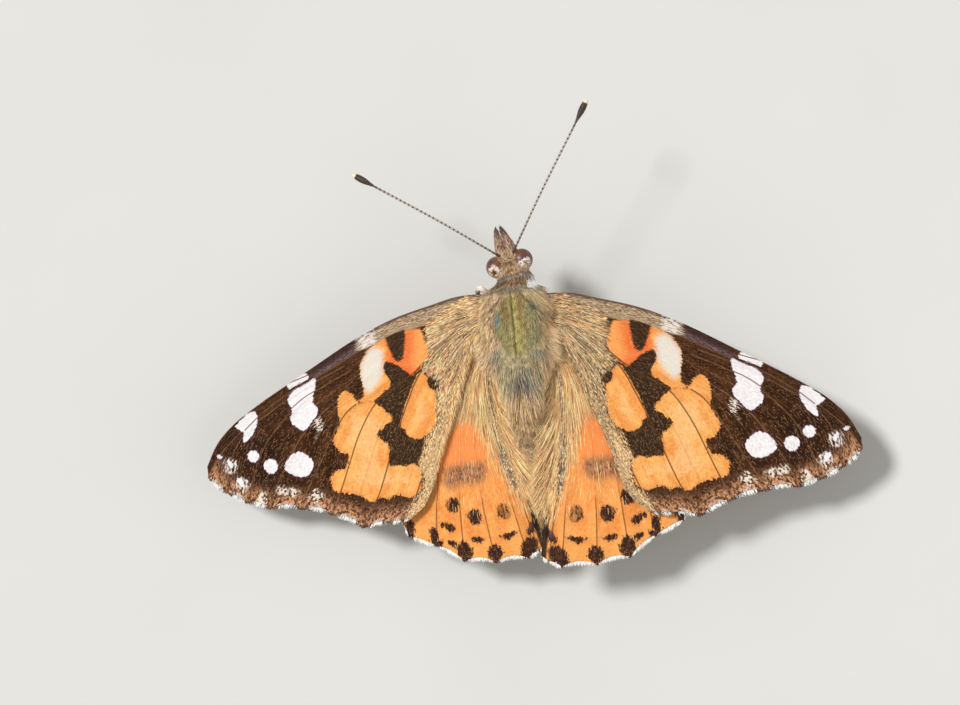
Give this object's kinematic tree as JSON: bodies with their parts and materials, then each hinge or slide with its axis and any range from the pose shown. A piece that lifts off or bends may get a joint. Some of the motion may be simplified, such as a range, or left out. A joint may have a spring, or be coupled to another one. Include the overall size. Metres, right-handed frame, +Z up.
{
  "type": "painted lady butterfly",
  "caption": "Painted lady butterfly standing on four walking legs with its wings spread flat, life size, as a still display model.",
  "frame": {"origin": "middle of the outline seen from above, on the floor that the feet stand on", "axes": "+X to the butterfly's right, across the span; +Y towards the head; +Z up"},
  "size_m": [0.061, 0.0416, 0.0143],
  "materials": {
    "wing": "matte scales, orange with dark brown and white marks",
    "body_fur": "short fur, olive green to golden brown",
    "eye": "glossy red-brown",
    "antenna": "fine scales, dark with white rings",
    "leg": "fine scales, buff brown"
  },
  "bodies": {
    "root": {"thorax": "body_fur", "abdomen": "body_fur", "head": "body_fur", "palp_left": "body_fur", "palp_right": "body_fur", "eye_left": "eye", "eye_right": "eye", "proboscis": "antenna", "antenna_left": "antenna", "antenna_right": "antenna", "foreleg_left": "leg", "foreleg_right": "leg", "midleg_left": "leg", "midleg_right": "leg", "hindleg_left": "leg", "hindleg_right": "leg", "forewing_left": "wing", "forewing_right": "wing", "hindwing_left": "wing", "hindwing_right": "wing"}
  },
  "joints": []
}
